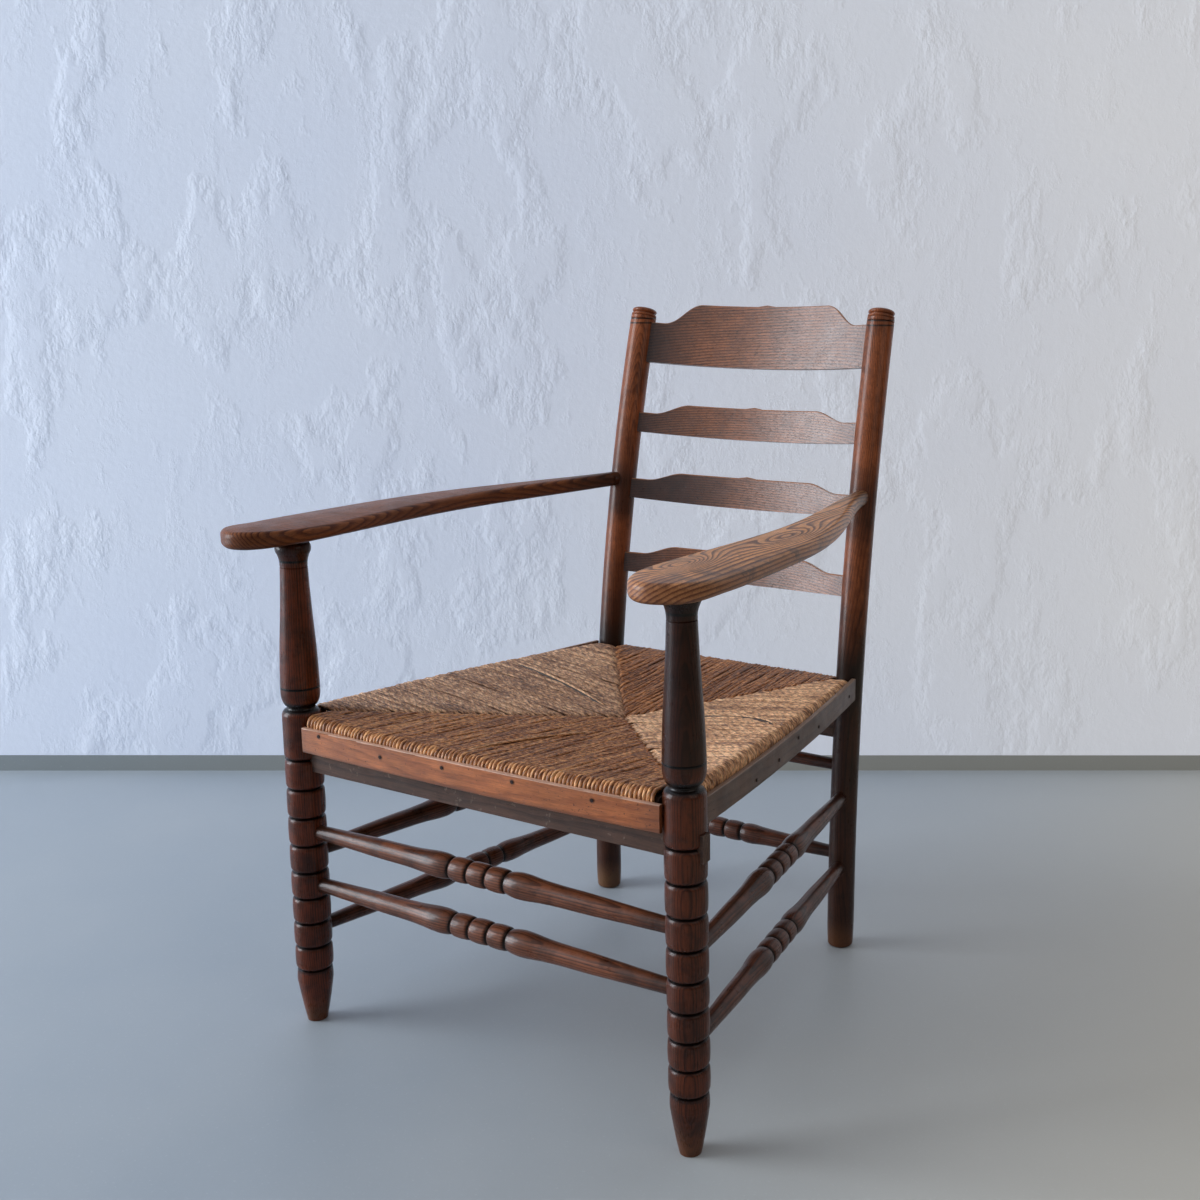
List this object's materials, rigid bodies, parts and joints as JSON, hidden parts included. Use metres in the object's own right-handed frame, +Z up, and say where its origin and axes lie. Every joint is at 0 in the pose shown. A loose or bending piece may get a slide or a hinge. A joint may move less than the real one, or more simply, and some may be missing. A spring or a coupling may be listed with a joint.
{
  "type": "ladderback armchair",
  "caption": "Dark stained ladderback armchair with bobbin-turned front legs, flat paddle arms, bowed slats and a woven rush seat.",
  "frame": {"origin": "on the floor, at the middle of the overall width and depth", "axes": "+Z up, the chair faces -Y, +X is the sitter's left"},
  "size_m": [0.7102, 0.7944, 0.9559],
  "materials": {
    "turned_wood": "stained dark red-brown, satin with a polished sheen",
    "post_wood": "stained brown, satin",
    "slat_wood": "stained brown, straight grain, satin",
    "arm_elm": "worn honey brown with dark edges, satin",
    "strip_wood": "thin brown stain, worn, matt",
    "bearer_wood": "dull dark brown, scratched",
    "rush": "twisted rush, matt",
    "nail_iron": "dark, rusted"
  },
  "bodies": {
    "root": {"back_bearer": "bearer_wood", "back_lower_stretcher": "turned_wood", "back_seat_rail": "bearer_wood", "back_strip": "strip_wood", "back_strip_nails": "nail_iron", "back_upper_stretcher": "turned_wood", "crest_slat": "slat_wood", "front_bearer": "bearer_wood", "front_lower_stretcher": "turned_wood", "front_seat_rail": "bearer_wood", "front_strip": "strip_wood", "front_strip_nails": "nail_iron", "front_upper_stretcher": "turned_wood", "left_arm": "arm_elm", "left_back_post": "post_wood", "left_front_leg": "turned_wood", "left_lower_stretcher": "turned_wood", "left_seat_rail": "bearer_wood", "left_strip": "strip_wood", "left_strip_nails": "nail_iron", "left_upper_stretcher": "turned_wood", "lower_slat": "slat_wood", "middle_slat": "slat_wood", "right_arm": "arm_elm", "right_back_post": "post_wood", "right_front_leg": "turned_wood", "right_lower_stretcher": "turned_wood", "right_seat_rail": "bearer_wood", "right_strip": "strip_wood", "right_strip_nails": "nail_iron", "right_upper_stretcher": "turned_wood", "rush_seat": "rush", "upper_slat": "slat_wood"}
  },
  "joints": []
}
